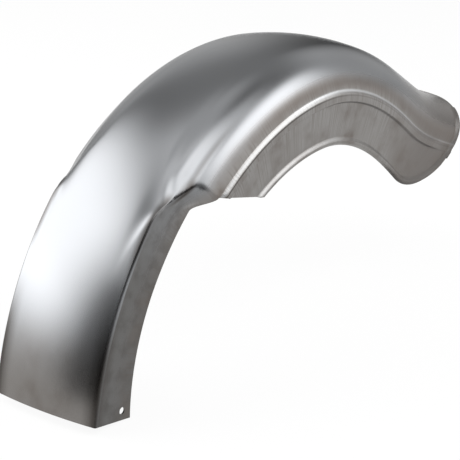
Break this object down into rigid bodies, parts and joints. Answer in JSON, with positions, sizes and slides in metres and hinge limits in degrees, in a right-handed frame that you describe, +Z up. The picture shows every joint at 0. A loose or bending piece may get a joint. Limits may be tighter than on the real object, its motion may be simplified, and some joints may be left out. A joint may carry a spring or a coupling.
{
  "type": "motorcycle rear fender",
  "caption": "Deep-drawn steel rear fender for a motorcycle wheel, with narrow front flanges, stepped side walls, a pressed rib, beaded edges and an upturned tail.",
  "frame": {"origin": "middle of the underside of the part's bounding box; the wheel axle it is drawn about is at x 0.0167, z -0.0523", "axes": "-X to the front of the motorcycle, +X to its rear, +Z up, Y across; the two sides mirror about Y = 0"},
  "size_m": [0.6658, 0.1824, 0.3027],
  "materials": {
    "bare_steel": "bare satin sheet steel, lightly grained and stained"
  },
  "bodies": {
    "root": {"fender": "bare_steel"}
  },
  "joints": []
}
